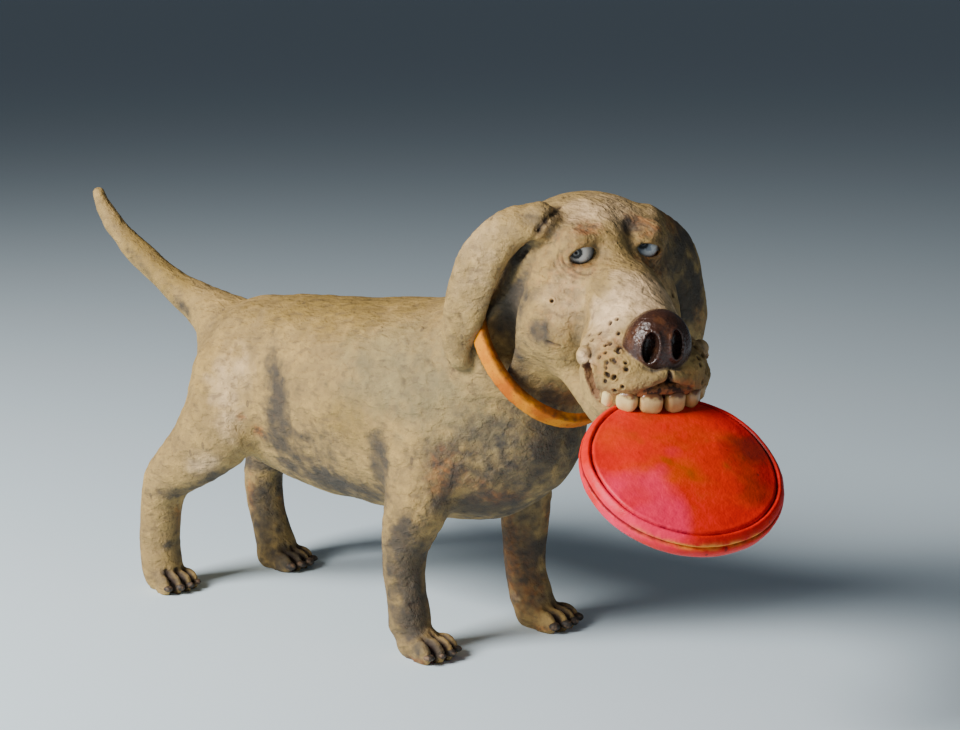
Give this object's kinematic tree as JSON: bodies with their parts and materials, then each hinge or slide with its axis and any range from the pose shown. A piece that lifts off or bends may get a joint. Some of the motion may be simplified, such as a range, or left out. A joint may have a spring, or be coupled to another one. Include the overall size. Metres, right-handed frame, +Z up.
{
  "type": "ceramic dog sculpture",
  "caption": "Standing hand-built ceramic hound with raised tail and turned head, holding a domed red flying disc in blunt teeth and wearing a glazed collar; a freestanding ornament.",
  "frame": {"origin": "middle of the figure's bounding box, on the surface that the paws stand on", "axes": "+X from tail to chest along the trunk, +Y to the dog's left, +Z up; the head is turned towards -Y"},
  "size_m": [0.6028, 0.2, 0.2905],
  "materials": {
    "clay": "matt stained clay, grey-beige with charcoal smoke and ochre wash",
    "collar_slip": "satin orange-ochre slip",
    "disc_glaze": "semi-gloss mottled red and orange glaze, scuffed",
    "eye_glaze": "gloss white with dark pupil",
    "tooth_glaze": "gloss ivory, browner at the gum"
  },
  "bodies": {
    "root": {"dog": "clay", "collar": "collar_slip", "disc": "disc_glaze", "eye_right": "eye_glaze", "eye_left": "eye_glaze", "tooth_1": "tooth_glaze", "tooth_2": "tooth_glaze", "tooth_3": "tooth_glaze", "tooth_4": "tooth_glaze", "tooth_5": "tooth_glaze", "tooth_6": "tooth_glaze"}
  },
  "joints": []
}
